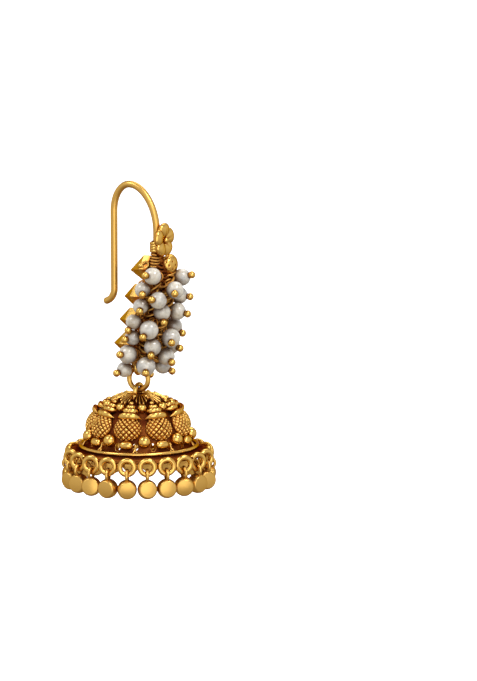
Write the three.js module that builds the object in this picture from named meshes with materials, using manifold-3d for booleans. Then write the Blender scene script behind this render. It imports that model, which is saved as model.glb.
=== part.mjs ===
// A temple earring: ear hook, leaning frame with a bunch of pearls, link ring, and a bell with drops.
// Millimetres, +Z up. The hook lies in the plane Y = 0, the front of the earring faces +X, and the
// origin is the inside of the top of the hook's bow, where the earring hangs.
import * as THREE from "three";
import { mergeVertices } from "three/addons/utils/BufferGeometryUtils.js";
import Module from "manifold-3d";

const wasm = await Module();
wasm.setup();

const DEG = Math.PI / 180;
const FINEST = 0.03;
const at = (x, y, z) => new THREE.Vector3(x, y, z);

const HOOK = {
  wire: 0.5,
  sides: 8,
  legX: -2.74,
  legTop: -3.7,
  legBottom: -15.9,
  tailX: -4.62,
  tailZ: -17.95,
  crownX: 0.1,
  stemX: 4.93,
  stemTop: -6.5,
  stemBottom: -9.3,
};
const COLLAR = { outer: 0.95, bore: 0.62, top: -7.9, bottom: -9.9, floor: -9.5, turns: 3, groove: 0.16 };
const FLOWER = { x: 6.35, z: -7.8, petals: 5, petal: 0.85, reach: 1.6, thick: 0.62, middle: 1.2, post: 0.4 };
const SPINE = { x: 4.88, z: -9.8, lean: 0.187, bottom: -27.1, half: 0.75 };
const EYELET = { x: 1.6, z: -27.9, radius: 0.95, wire: 0.32 };
const PIN = { wire: 0.22, sides: 5, ball: 0.58, bore: 0.38, past: 0.42, before: 0.3 };
const RING = { x: 1.6, z: -29.7, radius: 1.7, wire: 0.4 };
const BAIL = { z: -31.65, radius: 1.1, wire: 0.35 };

// The box settings on the back of the spine: height of the point, how far it stands behind the
// spine's middle, and how high and low the diamond reaches from its point.
const SETTINGS = [
  { z: -12.8, back: 3.95, up: 2.3, down: 1.5, deep: 2.1 },
  { z: -16.95, back: 4.2, up: 2.05, down: 1.45, deep: 1.85 },
  { z: -20.6, back: 4.5, up: 1.95, down: 1.45, deep: 1.85 },
  { z: -24.4, back: 4.8, up: 1.8, down: 1.4, deep: 1.85 },
];
const SETTING = { half: 1.55, root: -0.4 };
const FRONT_STUD = { z: -12.0, reach: 2.6, wide: 1.5, tall: 1.45, thick: 1.0, side: 55 };

// The pearls: height, turn about the spine from the front (minus is the near side, -Y), distance of
// the middle from the spine, diameter, and where the headpin's ball end points.
const SMALL = 2.4;
const MIDDLE = 2.7;
const LARGE = 2.95;
const PEARLS = [
  { z: -13.0, turn: -60, out: 3.5, size: MIDDLE, aim: -100, droop: -10 },
  { z: -13.8, turn: 45, out: 4.7, size: MIDDLE, aim: 5, droop: -15 },
  { z: -15.3, turn: -5, out: 4.6, size: MIDDLE, aim: -60, droop: 10 },
  { z: -16.7, turn: 48, out: 4.8, size: MIDDLE, aim: 15, droop: 5 },
  { z: -15.2, turn: -82, out: 3.2, size: SMALL, aim: -60, droop: 20 },
  { z: -16.7, turn: -40, out: 4.2, size: MIDDLE, aim: -95, droop: -10 },
  { z: -18.8, turn: -14, out: 3.2, size: MIDDLE, aim: -40, droop: 60 },
  { z: -17.8, turn: -80, out: 3.1, size: SMALL, aim: -65, droop: 20 },
  { z: -19.0, turn: 28, out: 4.7, size: MIDDLE, aim: 5, droop: 10 },
  { z: -20.3, turn: -94, out: 3.2, size: SMALL, aim: -115, droop: 50 },
  { z: -21.4, turn: -48, out: 3.8, size: LARGE, aim: -95, droop: 30 },
  { z: -22.9, turn: 4, out: 4.8, size: LARGE, aim: -55, droop: 15 },
  { z: -21.6, turn: 46, out: 4.7, size: MIDDLE, aim: 10, droop: 35 },
  { z: -24.6, turn: 44, out: 4.7, size: MIDDLE, aim: -5, droop: 10 },
  { z: -24.2, turn: -30, out: 3.5, size: MIDDLE, aim: -70, droop: 40 },
  { z: -22.8, turn: -92, out: 2.9, size: SMALL, aim: -110, droop: 5 },
  { z: -25.4, turn: -95, out: 3.3, size: LARGE, aim: -100, droop: -5 },
  { z: -28.0, turn: -112, out: 2.6, size: SMALL, aim: -110, droop: 15 },
  { z: -27.2, turn: -40, out: 3.5, size: LARGE, aim: -60, droop: 25 },
  { z: -25.9, turn: 8, out: 4.4, size: MIDDLE, aim: -25, droop: 25 },
  { z: -27.7, turn: 42, out: 3.9, size: MIDDLE, aim: 10, droop: 30 },
  { z: -28.6, turn: 95, out: 2.9, size: SMALL, aim: 85, droop: 40 },
  { z: -14.3, turn: 95, out: 3.6, size: MIDDLE, aim: 100, droop: 5 },
  { z: -17.3, turn: 96, out: 3.5, size: MIDDLE, aim: 80, droop: 10 },
  { z: -20.4, turn: 88, out: 3.6, size: MIDDLE, aim: 105, droop: 20 },
  { z: -23.8, turn: 94, out: 3.4, size: MIDDLE, aim: 85, droop: 10 },
];
const PEARL = { sides: 10, rows: 5, squash: 0.97 };

// The bell about its upright axis. VIEW is the side of the bell that the pattern is counted from.
const VIEW = -60;
const BELL = { x: 1.6, units: 9, firstUnit: -12.5, columns: 5, rows: 9 };
const DOME = [
  { r: 0.9, z: -32.05 },
  { r: 2.2, z: -32.35 },
  { r: 3.6, z: -32.95 },
  { r: 5.0, z: -34.0 },
  { r: 6.2, z: -35.15 },
  { r: 6.95, z: -36.2 },
  { r: 7.5, z: -37.4 },
  { r: 7.85, z: -38.7 },
  { r: 8.15, z: -39.9 },
];
const HOLLOW = [
  { r: 0, z: -32.95 },
  { r: 2.4, z: -33.3 },
  { r: 4.4, z: -34.6 },
  { r: 5.7, z: -36.0 },
  { r: 6.6, z: -37.7 },
  { r: 7.0, z: -39.2 },
  { r: 7.35, z: -40.6 },
  { r: 7.35, z: -44.0 },
  { r: 0, z: -44.0 },
];
const SKIRT = [
  { r: 7.1, z: -39.5 },
  { r: 9.1, z: -39.9 },
  { r: 9.25, z: -40.3 },
  { r: 10.7, z: -40.75 },
  { r: 10.65, z: -41.15 },
  { r: 7.1, z: -40.5 },
];
const CAP = { flutes: 9, edge: 3.4, raise: 0.3 };
const PINEAPPLE = { z: -36.2, half: 15.5, tall: 1.75, raise: 0.95 };
const CROWN = { low: -34.7, high: -33.3, half: 13, raise: 0.55 };
const BALL = { r: 8.0, z: -38.1, radius: 0.92 };
const BARREL = { z: -38.65, half: 8, tall: 0.7, raise: 0.75 };
const GAP = { z: -39.0, width: 0.34, beside: 10 };
const RIM_RING = { count: 22, r: 10.85, z: -41.65, radius: 1.05, wire: 0.37 };
const DROP = { loop: 0.95, wire: 0.25, rest: 0.08, disc: 1.45, thick: 1.05, edge: 0.55, top: 0.55, face: 0.48 };
const LINK = { sides: 10, wireSides: 5 };

// A closed geometry as a solid, turned the right way out.
function solid(geometry) {
  const bare = new THREE.BufferGeometry();
  bare.setAttribute("position", geometry.getAttribute("position"));
  bare.setIndex(geometry.index);
  const welded = mergeVertices(bare, 1e-4);
  const index = welded.index.array;
  const triangles = [];
  for (let i = 0; i < index.length; i += 3) {
    const [a, b, c] = [index[i], index[i + 1], index[i + 2]];
    if (a !== b && b !== c && c !== a) triangles.push(a, b, c);
  }
  const made = (order) =>
    new wasm.Manifold(
      new wasm.Mesh({
        numProp: 3,
        vertProperties: new Float32Array(welded.getAttribute("position").array),
        triVerts: new Uint32Array(order),
      }),
    );
  const first = made(triangles);
  return first.volume() > 0 ? first : made([...triangles].reverse());
}

const join = (shapes) => shapes.reduce((all, next) => all.add(next));

function rod(from, to, radius, sides) {
  const along = to.clone().sub(from);
  const shape = new THREE.CylinderGeometry(radius, radius, along.length(), sides);
  shape.applyQuaternion(new THREE.Quaternion().setFromUnitVectors(at(0, 1, 0), along.clone().normalize()));
  const middle = from.clone().addScaledVector(along, 0.5);
  return solid(shape.translate(middle.x, middle.y, middle.z));
}

// A wire through three points, with its bend in the middle one.
function bentWire(points, radius, sides) {
  const ways = points.slice(1).map((p, i) => p.clone().sub(points[i]).normalize());
  const side = ways[0].clone().cross(ways[1]);
  if (side.length() < 0.05) side.copy(ways[0]).cross(Math.abs(ways[0].z) < 0.9 ? at(0, 0, 1) : at(1, 0, 0));
  side.normalize();
  const spots = [];
  points.forEach((p, i) => {
    const before = ways[Math.max(i - 1, 0)];
    const after = ways[Math.min(i, ways.length - 1)];
    const way = before.clone().add(after).normalize();
    const stretch = 1 / before.dot(way);
    const across = way.clone().cross(side).normalize();
    for (let k = 0; k < sides; k += 1) {
      const turn = (2 * Math.PI * k) / sides;
      const spot = p.clone().addScaledVector(side, radius * Math.cos(turn));
      spot.addScaledVector(across, radius * stretch * Math.sin(turn));
      spots.push(spot.x, spot.y, spot.z);
    }
  });
  const faces = [];
  const last = (points.length - 1) * sides;
  for (let k = 0; k < sides; k += 1) {
    const next = (k + 1) % sides;
    for (let row = 0; row < last; row += sides) {
      faces.push(row + k, row + next, row + sides + k, row + next, row + sides + next, row + sides + k);
    }
    if (k > 0 && next > 0) faces.push(0, next, k, last, last + k, last + next);
  }
  const shape = new THREE.BufferGeometry();
  shape.setAttribute("position", new THREE.Float32BufferAttribute(spots, 3));
  shape.setIndex(faces);
  return solid(shape);
}

function ball(centre, radius, sides, rows, stretch = at(1, 1, 1)) {
  const shape = new THREE.SphereGeometry(radius, sides, rows);
  shape.rotateX(90 * DEG);
  shape.scale(stretch.x, stretch.y, stretch.z);
  return solid(shape.translate(centre.x, centre.y, centre.z));
}

// A wire ring about its centre, with its axis along the given direction.
function loop(centre, axis, radius, wire, sides = LINK.sides, wireSides = LINK.wireSides) {
  const shape = new THREE.TorusGeometry(radius, wire, wireSides, sides);
  shape.applyQuaternion(new THREE.Quaternion().setFromUnitVectors(at(0, 0, 1), axis));
  return solid(shape.translate(centre.x, centre.y, centre.z));
}

// A profile of radius and height turned about +Z.
function turned(profile, sides) {
  const points = profile.map((p) => new THREE.Vector2(p.r, p.z));
  return solid(new THREE.LatheGeometry(points, sides).rotateX(90 * DEG));
}

function closedTurn(profile, sides) {
  return turned([...profile, profile[0]], sides);
}

function piece(name, shape, material) {
  const mesh = shape.simplify(FINEST).getMesh();
  const geometry = new THREE.BufferGeometry();
  geometry.setAttribute("position", new THREE.BufferAttribute(mesh.vertProperties, mesh.numProp));
  geometry.setIndex(new THREE.BufferAttribute(mesh.triVerts, 1));
  geometry.computeVertexNormals();
  const made = new THREE.Mesh(geometry, material);
  made.name = name;
  return made;
}

const around = (turn, r, z) => at(r * Math.cos(turn * DEG), r * Math.sin(turn * DEG), z);
const spineX = (z) => SPINE.x + SPINE.lean * (z - SPINE.z);

// A quarter of an ellipse in the hook's plane, from one end to the other about a square corner.
function quarter(from, corner, to, fullness = 0.5523) {
  return new THREE.CubicBezierCurve3(
    from,
    from.clone().lerp(corner, fullness),
    to.clone().lerp(corner, fullness),
    to,
  );
}

function earHook() {
  const top = HOOK.wire;
  const path = new THREE.CurvePath();
  const tail = at(HOOK.tailX, 0, HOOK.tailZ);
  const legBottom = at(HOOK.legX, 0, HOOK.legBottom);
  const legTop = at(HOOK.legX, 0, HOOK.legTop);
  const crown = at(HOOK.crownX, 0, top);
  const stemTop = at(HOOK.stemX, 0, HOOK.stemTop);
  path.add(quarter(tail, at(HOOK.legX, 0, HOOK.tailZ), legBottom));
  path.add(new THREE.LineCurve3(legBottom, legTop));
  path.add(quarter(legTop, at(HOOK.legX, 0, top), crown));
  path.add(quarter(crown, at(HOOK.stemX, 0, top), stemTop, 0.52));
  path.add(new THREE.LineCurve3(stemTop, at(HOOK.stemX, 0, HOOK.stemBottom)));
  const round = new THREE.Shape();
  round.absarc(0, 0, HOOK.wire, 0, 2 * Math.PI);
  const shape = new THREE.ExtrudeGeometry(round, {
    steps: 32,
    curveSegments: HOOK.sides / 2,
    extrudePath: path,
    bevelEnabled: false,
  });
  return solid(shape.index ? shape : mergeVertices(shape, 1e-5));
}

// The wrapped collar that holds the foot of the hook.
function collar() {
  const pitch = (COLLAR.top - COLLAR.bottom) / COLLAR.turns;
  const profile = [{ r: 0, z: COLLAR.bottom }];
  for (let turn = 0; turn < COLLAR.turns; turn += 1) {
    const low = COLLAR.bottom + turn * pitch;
    profile.push({ r: COLLAR.outer - COLLAR.groove, z: low });
    profile.push({ r: COLLAR.outer, z: low + pitch / 2 });
  }
  profile.push({ r: COLLAR.outer - COLLAR.groove, z: COLLAR.top });
  profile.push({ r: COLLAR.bore, z: COLLAR.top });
  profile.push({ r: COLLAR.bore, z: COLLAR.floor });
  profile.push({ r: 0, z: COLLAR.floor });
  return turned(profile, 10).translate([HOOK.stemX, 0, 0]);
}

function flower() {
  const middle = at(FLOWER.x, 0, FLOWER.z);
  const flat = at(FLOWER.thick, 1, 1);
  const foot = COLLAR.top - FLOWER.post;
  const shapes = [rod(at(HOOK.stemX + COLLAR.bore + 0.2, 0, foot), at(FLOWER.x, 0, foot), FLOWER.post, 6)];
  for (let petal = 0; petal < FLOWER.petals; petal += 1) {
    const turn = (90 + (360 / FLOWER.petals) * petal) * DEG;
    const centre = at(0, FLOWER.reach * Math.cos(turn), FLOWER.reach * Math.sin(turn)).add(middle);
    shapes.push(ball(centre, FLOWER.petal, 6, 4, flat));
  }
  shapes.push(ball(at(FLOWER.x + 0.15, 0, FLOWER.z), FLOWER.middle, 6, 4));
  return join(shapes);
}

// One box setting: a diamond block on the spine whose back rises to a point.
function setting(row) {
  const middle = spineX(row.z);
  const base = -row.back + row.deep;
  const rim = [
    [0, row.up],
    [SETTING.half, (row.up - row.down) / 2],
    [0, -row.down],
    [-SETTING.half, (row.up - row.down) / 2],
  ];
  const points = [];
  for (const x of [base, SETTING.root]) {
    for (const [y, z] of rim) points.push(middle + x, y, row.z + z);
  }
  points.push(middle - row.back, 0, row.z);
  points.push(middle + SETTING.root, 0, row.z);
  const faces = [];
  for (let side = 0; side < 4; side += 1) {
    const next = (side + 1) % 4;
    faces.push(8, side, next, 9, next + 4, side + 4);
    faces.push(side, side + 4, next, next, side + 4, next + 4);
  }
  const shape = new THREE.BufferGeometry();
  shape.setAttribute("position", new THREE.Float32BufferAttribute(points, 3));
  shape.setIndex(faces);
  return solid(shape);
}

// A pearl's place: its middle, the way its headpin points, and the two ends of the pin in it.
function seat(row) {
  const centre = around(row.turn, row.out, row.z).add(at(spineX(row.z), 0, 0));
  const flat = Math.cos(row.droop * DEG);
  const aim = around(row.aim, flat, -Math.sin(row.droop * DEG));
  const inner = centre.clone().addScaledVector(aim, -row.size / 2 - PIN.before);
  const outer = centre.clone().addScaledVector(aim, row.size / 2 + PIN.past);
  return { centre, aim, inner, outer };
}

function hangerFrame() {
  const spine = new THREE.BoxGeometry(2 * SPINE.half, 2 * SPINE.half, SPINE.z - SPINE.bottom);
  spine.rotateY(Math.atan(SPINE.lean));
  const middle = (SPINE.z + SPINE.bottom) / 2;
  const shapes = [collar(), flower(), solid(spine.translate(spineX(middle), 0, middle))];
  for (const row of SETTINGS) shapes.push(setting(row));
  const stud = around(FRONT_STUD.side, FRONT_STUD.reach, FRONT_STUD.z).add(at(spineX(FRONT_STUD.z), 0, 0));
  shapes.push(ball(stud, 1, 8, 5, at(FRONT_STUD.thick, FRONT_STUD.wide, FRONT_STUD.tall)));
  shapes.push(rod(at(spineX(FRONT_STUD.z + 1), 0, FRONT_STUD.z + 1), stud, 0.6, 6));
  for (const row of PEARLS) {
    const { inner, outer } = seat(row);
    const root = Math.max(inner.z, SPINE.bottom + PIN.before);
    shapes.push(bentWire([at(spineX(root), 0, root), inner, outer], PIN.wire, PIN.sides));
    shapes.push(ball(outer, PIN.ball, 6, 3));
  }
  shapes.push(loop(at(EYELET.x, 0, EYELET.z), at(1, 0, 0), EYELET.radius, EYELET.wire, 12));
  return join(shapes);
}

// A drilled pearl about its own hole, which lies along +Y.
function pearl(row) {
  const radius = row.size / 2;
  const edge = Math.asin(PIN.bore / radius);
  const profile = [];
  for (let step = 0; step < PEARL.rows; step += 1) {
    const turn = edge + ((Math.PI - 2 * edge) * step) / (PEARL.rows - 1);
    profile.push({ r: radius * Math.sin(turn), z: -PEARL.squash * radius * Math.cos(turn) });
  }
  const { centre, aim } = seat(row);
  const shape = new THREE.LatheGeometry(
    [...profile, profile[0]].map((p) => new THREE.Vector2(p.r, p.z)),
    PEARL.sides,
  );
  shape.applyQuaternion(new THREE.Quaternion().setFromUnitVectors(at(0, 1, 0), aim));
  return solid(shape.translate(centre.x, centre.y, centre.z));
}

// How far the cast relief stands off the dome at a turn and a height.
function relief(turn, r, z) {
  const unit = 360 / BELL.units;
  const off = turn - VIEW - BELL.firstUnit;
  const side = off - unit * Math.round(off / unit);
  const body = 1 - (side / PINEAPPLE.half) ** 2 - ((z - PINEAPPLE.z) / PINEAPPLE.tall) ** 2;
  let stand = body > 0 ? PINEAPPLE.raise * Math.sqrt(body) : 0;
  if (z > CROWN.low && z < CROWN.high) {
    const up = (z - CROWN.low) / (CROWN.high - CROWN.low);
    const leaf = 1 - Math.abs(side) / (CROWN.half * (1.1 - 0.6 * up));
    stand = Math.max(stand, leaf > 0 ? CROWN.raise : 0);
  }
  if (Math.abs(side) < BARREL.half && Math.abs(z - BARREL.z) < BARREL.tall) stand = BARREL.raise;
  if (r < CAP.edge) stand = Math.max(stand, CAP.raise * (0.6 + 0.4 * Math.cos(side * CAP.flutes * DEG * 4)));
  return stand;
}

// The cast outside of the bell, as one closed body down to the rim.
function dome() {
  const line = new THREE.SplineCurve(DOME.map((p) => new THREE.Vector2(p.r, p.z)));
  const columns = BELL.units * BELL.columns;
  const points = [0, 0, DOME[0].z];
  const rings = BELL.rows + 1;
  for (let row = 0; row < rings; row += 1) {
    const p = line.getPoint(row / BELL.rows);
    const t = line.getTangent(row / BELL.rows);
    for (let column = 0; column < columns; column += 1) {
      const turn = VIEW + BELL.firstUnit + (360 * column) / columns;
      const stand = row > 0 && row < BELL.rows ? relief(turn, p.x, p.y) : 0;
      const spot = around(turn, p.x - t.y * stand, p.y + t.x * stand);
      points.push(spot.x, spot.y, spot.z);
    }
  }
  points.push(0, 0, DOME[DOME.length - 1].z);
  const last = points.length / 3 - 1;
  const faces = [];
  const spot = (row, column) => 1 + row * columns + (column % columns);
  for (let column = 0; column < columns; column += 1) {
    faces.push(0, spot(0, column), spot(0, column + 1));
    faces.push(last, spot(rings - 1, column + 1), spot(rings - 1, column));
    for (let row = 0; row + 1 < rings; row += 1) {
      faces.push(spot(row, column), spot(row + 1, column), spot(row, column + 1));
      faces.push(spot(row, column + 1), spot(row + 1, column), spot(row + 1, column + 1));
    }
  }
  const shape = new THREE.BufferGeometry();
  shape.setAttribute("position", new THREE.Float32BufferAttribute(points, 3));
  shape.setIndex(faces);
  return solid(shape);
}

const unitTurn = (unit, shift = 0) => VIEW + BELL.firstUnit + (360 / BELL.units) * (unit + shift);
const ringTurn = (ring) => VIEW + (360 / RIM_RING.count) * (ring + 0.5);

function bell() {
  const outside = [dome(), closedTurn(SKIRT, RIM_RING.count).rotate([0, 0, VIEW + 90])];
  const gaps = [];
  for (let unit = 0; unit < BELL.units; unit += 1) {
    outside.push(ball(around(unitTurn(unit, 0.5), BALL.r, BALL.z), BALL.radius, 6, 3));
    for (const side of [-1, 1]) {
      const where = unitTurn(unit, 0.5) + side * GAP.beside;
      gaps.push(rod(around(where, 6.2, GAP.z), around(where, 9.6, GAP.z), GAP.width, 3));
    }
  }
  let shape = join(outside).subtract(turned(HOLLOW, 12)).subtract(join(gaps));
  const rings = [];
  for (let ring = 0; ring < RIM_RING.count; ring += 1) {
    const turn = ringTurn(ring);
    const facing = around(turn + swivel(ring), 1, 0);
    rings.push(loop(around(turn, RIM_RING.r, RIM_RING.z), facing, RIM_RING.radius, RIM_RING.wire));
  }
  rings.push(loop(at(0, 0, BAIL.z), at(1, 0, 0), BAIL.radius, BAIL.wire));
  shape = shape.add(join(rings));
  return shape.translate([BELL.x, 0, 0]);
}

// How far a rim ring and its drop are turned from facing outward, towards the front or the back.
function swivel(ring) {
  const off = (360 / RIM_RING.count) * (ring + 0.5);
  const side = off - 180 * Math.round(off / 180);
  return Math.abs(side) < 89 ? -DROP.face * side : 0;
}

// A drop: a wire loop that hangs on its rim ring, and a thick round disc below it.
function drop(ring) {
  const turn = ringTurn(ring);
  const hang = RIM_RING.z - RIM_RING.radius + RIM_RING.wire + DROP.wire + DROP.rest - DROP.loop;
  const below = hang - DROP.loop - DROP.wire - DROP.disc + DROP.top;
  const profile = [
    { r: 0, z: -DROP.thick },
    { r: DROP.disc, z: -DROP.edge },
    { r: DROP.disc, z: DROP.edge },
    { r: 0, z: DROP.thick },
  ];
  const disc = turned(profile, 10).rotate([0, 90, 0]).translate([0, 0, below]);
  const wire = loop(at(0, 0, hang), at(0, 1, 0), DROP.loop, DROP.wire);
  const upright = join([disc, wire]).rotate([0, 0, swivel(ring)]);
  return upright.translate([RIM_RING.r, 0, 0]).rotate([0, 0, turn]).translate([BELL.x, 0, 0]);
}

const gold = new THREE.MeshStandardMaterial({ name: "gold", color: 0xd9a441, metalness: 1, roughness: 0.3 });
const cream = new THREE.MeshStandardMaterial({ name: "pearl", color: 0xe9e4da, metalness: 0, roughness: 0.3 });

const earring = new THREE.Group();
earring.add(piece("ear_hook", earHook(), gold));
earring.add(piece("hanger_frame", hangerFrame(), gold));
const link = loop(at(RING.x, 0, RING.z), at(0, 1, 0), RING.radius, RING.wire, 14);
earring.add(piece("link_ring", link, gold));
earring.add(piece("bell", bell(), gold));
const number = (index) => String(index + 1).padStart(2, "0");
PEARLS.forEach((row, index) => earring.add(piece("pearl_" + number(index), pearl(row), cream)));
for (let ring = 0; ring < RIM_RING.count; ring += 1) {
  earring.add(piece("drop_" + number(ring), drop(ring), gold));
}

export default earring;
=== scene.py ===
import math

import bmesh
import bpy
import numpy as np
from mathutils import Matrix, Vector, noise


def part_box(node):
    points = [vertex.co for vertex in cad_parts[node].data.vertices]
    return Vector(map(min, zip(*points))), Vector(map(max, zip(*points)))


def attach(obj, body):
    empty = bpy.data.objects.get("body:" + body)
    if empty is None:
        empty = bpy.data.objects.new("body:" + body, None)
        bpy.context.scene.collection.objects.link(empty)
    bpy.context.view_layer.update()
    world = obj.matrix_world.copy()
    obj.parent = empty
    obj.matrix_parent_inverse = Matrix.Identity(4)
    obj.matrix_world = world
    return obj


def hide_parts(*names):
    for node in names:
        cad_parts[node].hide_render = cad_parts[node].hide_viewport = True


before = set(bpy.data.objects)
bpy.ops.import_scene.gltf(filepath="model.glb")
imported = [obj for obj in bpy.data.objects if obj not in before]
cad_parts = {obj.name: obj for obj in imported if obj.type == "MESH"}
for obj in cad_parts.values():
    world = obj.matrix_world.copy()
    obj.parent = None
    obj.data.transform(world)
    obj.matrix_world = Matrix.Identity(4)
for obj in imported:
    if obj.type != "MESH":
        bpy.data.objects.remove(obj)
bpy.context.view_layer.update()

# Sizes are in millimetres, as the solids have them, and become metres in piece().
MM = 0.001
WELD = 2e-7
X_AXIS = np.array([1.0, 0.0, 0.0])
Y_AXIS = np.array([0.0, 1.0, 0.0])
Z_AXIS = np.array([0.0, 0.0, 1.0])

HOOK = dict(wire=0.54, leg_x=-2.74, leg_top=-3.7, leg_bottom=-15.9, tail_x=-4.62, tail_z=-17.95)
HOOK.update(crown_x=0.1, stem_x=4.93, stem_top=-6.5, stem_bottom=-9.3)
COLLAR = dict(core=0.7, wrap=0.28, top=-7.95, bottom=-9.9, turns=3.6)
FLOWER = dict(x=6.2, z=-7.75, petals=5, long=1.2, wide=1.26, thick=0.66, reach=1.45, middle=0.45)
SPINE = dict(x=4.88, z=-9.8, lean=0.187, bottom=-27.1, core=0.62, wrap=0.2, pitch=0.47)
EYELET = dict(x=1.6, z=-27.9, radius=0.95, wire=0.32)
PIN = dict(wire=0.22, ball=0.58, past=0.42, before=0.3)
NEST = dict(wraps=(0.25, 0.62), radius=0.36, wire=0.13, ring=0.7, rings=(0.3, 0.55, 0.8, 1.0))
# Loose coils of wire that fill the gaps inside the bunch; their recess darkens them as painted shade
# inside the bunch.
TANGLE = [
    dict(side=20, out=2.4, low=-26.6, high=-13.6, radius=1.2, pitch=1.05, wire=0.17, recess=0.35),
    dict(side=60, out=2.6, low=-26.6, high=-13.2, radius=1.1, pitch=0.9, wire=0.16, recess=0.35),
    dict(side=40, out=2.4, low=-26.8, high=-13.4, radius=0.8, pitch=0.7, wire=0.2, recess=0.35),
    dict(side=-40, out=1.5, low=-27.0, high=-13.4, radius=0.9, pitch=0.95, wire=0.15, recess=0.35),
    dict(side=48, out=1.5, low=-14.4, high=-10.9, radius=0.75, pitch=0.5, wire=0.22, recess=0.8),
    dict(side=20, out=0.9, low=-14.2, high=-11.0, radius=0.6, pitch=0.6, wire=0.2, recess=0.8),
    dict(side=60, out=0.3, low=-26.4, high=-13.8, radius=1.4, pitch=0.62, wire=0.2, recess=0.75),
    dict(side=60, out=3.4, low=-26.2, high=-14.4, radius=0.9, pitch=0.75, wire=0.18, recess=0.75),
]
RING = dict(x=1.6, z=-29.7, radius=1.7, wire=0.4)
BAIL = dict(z=-31.65, radius=1.1, wire=0.35)
SETTINGS = [
    dict(z=-12.8, back=4.2, up=2.55, down=1.55, deep=2.5),
    dict(z=-16.95, back=4.55, up=2.1, down=1.5, deep=2.0),
    dict(z=-20.6, back=4.8, up=2.0, down=1.5, deep=2.0),
    dict(z=-24.4, back=5.1, up=1.85, down=1.45, deep=2.0),
]
SETTING = dict(half=1.55, root=-0.4, bevel=0.09, under=0.28)
STUD = dict(z=-11.8, reach=2.6, wide=1.65, tall=1.65, thick=1.1, side=55, stalk=0.55)
GRANULE = dict(z=-11.9, radius=0.42, loop=0.5, wire=0.16, stalk=0.2)

# The bell, about its upright axis at BELL x. Turns are counted from the side that the photo shows.
VIEW = -60.0
BELL = dict(x=1.6, units=9, first=-12.5)
UNIT = 360.0 / BELL["units"]
DOME = [(0.0, -32.0), (0.9, -32.05), (2.2, -32.35), (3.6, -32.95), (5.0, -34.0), (6.2, -35.15)]
DOME += [(6.95, -36.2), (7.5, -37.4), (7.85, -38.7), (8.15, -39.9)]
HOLLOW = [(0.0, -32.95), (2.4, -33.3), (4.4, -34.6), (5.7, -36.0), (6.6, -37.7)]
HOLLOW += [(7.0, -39.2), (7.35, -40.4)]
SKIRT = [(7.35, -40.4), (7.5, -40.62), (10.52, -41.14), (10.7, -41.0), (10.68, -40.76), (9.25, -40.32)]
SKIRT += [(9.05, -40.0), (8.15, -39.9)]
# Darkness along the skirt's section: painted shade under the rim wire and behind the rim rings, deepest
# just outside the wire.
SKIRT_SHADE = [0.88, 0.95, 1.0, 0.7, 0.5, 0.7, 0.9]
RIM_WIRE = dict(r=9.08, z=-40.0, wire=0.3, recess=0.0)
# The edge wire is darkened: painted shade behind the rim rings.
EDGE_WIRE = dict(r=10.6, z=-40.95, wire=0.24, recess=0.8)
PINEAPPLE = dict(z=-36.35, wide=2.2, tall=2.0, raise_=1.05, groove=0.26, pitch=0.78, slope=0.95)
BLADES = [
    dict(up=-0.4, reach=2.2, rise=-0.1, stand=1.0),
    dict(up=0.5, reach=1.6, rise=0.45, stand=0.8),
    dict(up=1.25, reach=0.85, rise=0.75, stand=0.6),
]
BLADE = dict(thick=0.42, deep=1.35, droop=0.7, bud=0.34, bud_up=2.2)
CAP = dict(inner=0.7, edge=4.6, notch=1.5, raise_=0.5, flutes=5, lip=0.2, clear=0.95)
BEAD = dict(down=2.5, stand=0.42, radius=0.26)
UPPER_BALL = dict(r=5.0, z=-33.5, radius=0.7)
BALL = dict(r=8.0, z=-38.2, radius=1.0)
BARREL = dict(r=8.05, z=-38.78, half=1.06, radius=0.7)
GAP = dict(z=-39.1, beside=10.0, r=7.5, half_turn=3.3, half_tall=0.6, inside=6.0, outside=9.0)
STRUT = dict(wire=0.13, spread=2.6, top=-38.7, fork=-39.3)
RIM_RING = dict(count=22, r=10.85, z=-41.65, radius=1.1, wire=0.41)
DROP = dict(loop=0.95, wire=0.25, disc=1.45, size=1.51, low=0.06, thick=1.05)
DROP.update(flat=1.08, crown=0.1, face=0.48, sway=14.0, nod=0.09)

CAMERA = dict(azimuth=30.0, elevation=9.0, lens=200.0, sensor=36.0)
PHOTO = dict(wide=477, tall=681, scale=6.5, origin=(129.0, 187.5))
FLOOR = dict(z=-75.0, radius=6000.0)


class Form:
    """A piece in the making: points, faces, and a recess value for each point, from 0 to 1, which
    darkens it: patina in hollows, and painted shade under and between parts.
    """

    def __init__(self):
        self.points, self.faces, self.recess = [], [], []
        self.count = 0

    def grid(self, points, recess=0.0, across=True, along=False):
        """Adds rows of points as a sheet that closes across its rows, along them, or both."""
        rows, columns = points.shape[:2]
        index = np.arange(rows * columns).reshape(rows, columns) + self.count
        if across:
            index = np.concatenate([index, index[:, :1]], axis=1)
        if along:
            index = np.concatenate([index, index[:1]], axis=0)
        corners = (index[:-1, :-1], index[1:, :-1], index[1:, 1:], index[:-1, 1:])
        self.faces.append(np.stack([corner.ravel() for corner in corners], axis=1))
        self.points.append(points.reshape(-1, 3))
        self.recess.append(np.broadcast_to(recess, (rows, columns)).ravel())
        self.count += rows * columns


def mend(mesh):
    """Joins the points that meet and turns every face outward."""
    work = bmesh.new()
    work.from_mesh(mesh)
    bmesh.ops.remove_doubles(work, verts=work.verts, dist=WELD)
    bmesh.ops.dissolve_degenerate(work, edges=work.edges, dist=WELD)
    bmesh.ops.recalc_face_normals(work, faces=work.faces)
    work.to_mesh(mesh)
    work.free()


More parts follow.
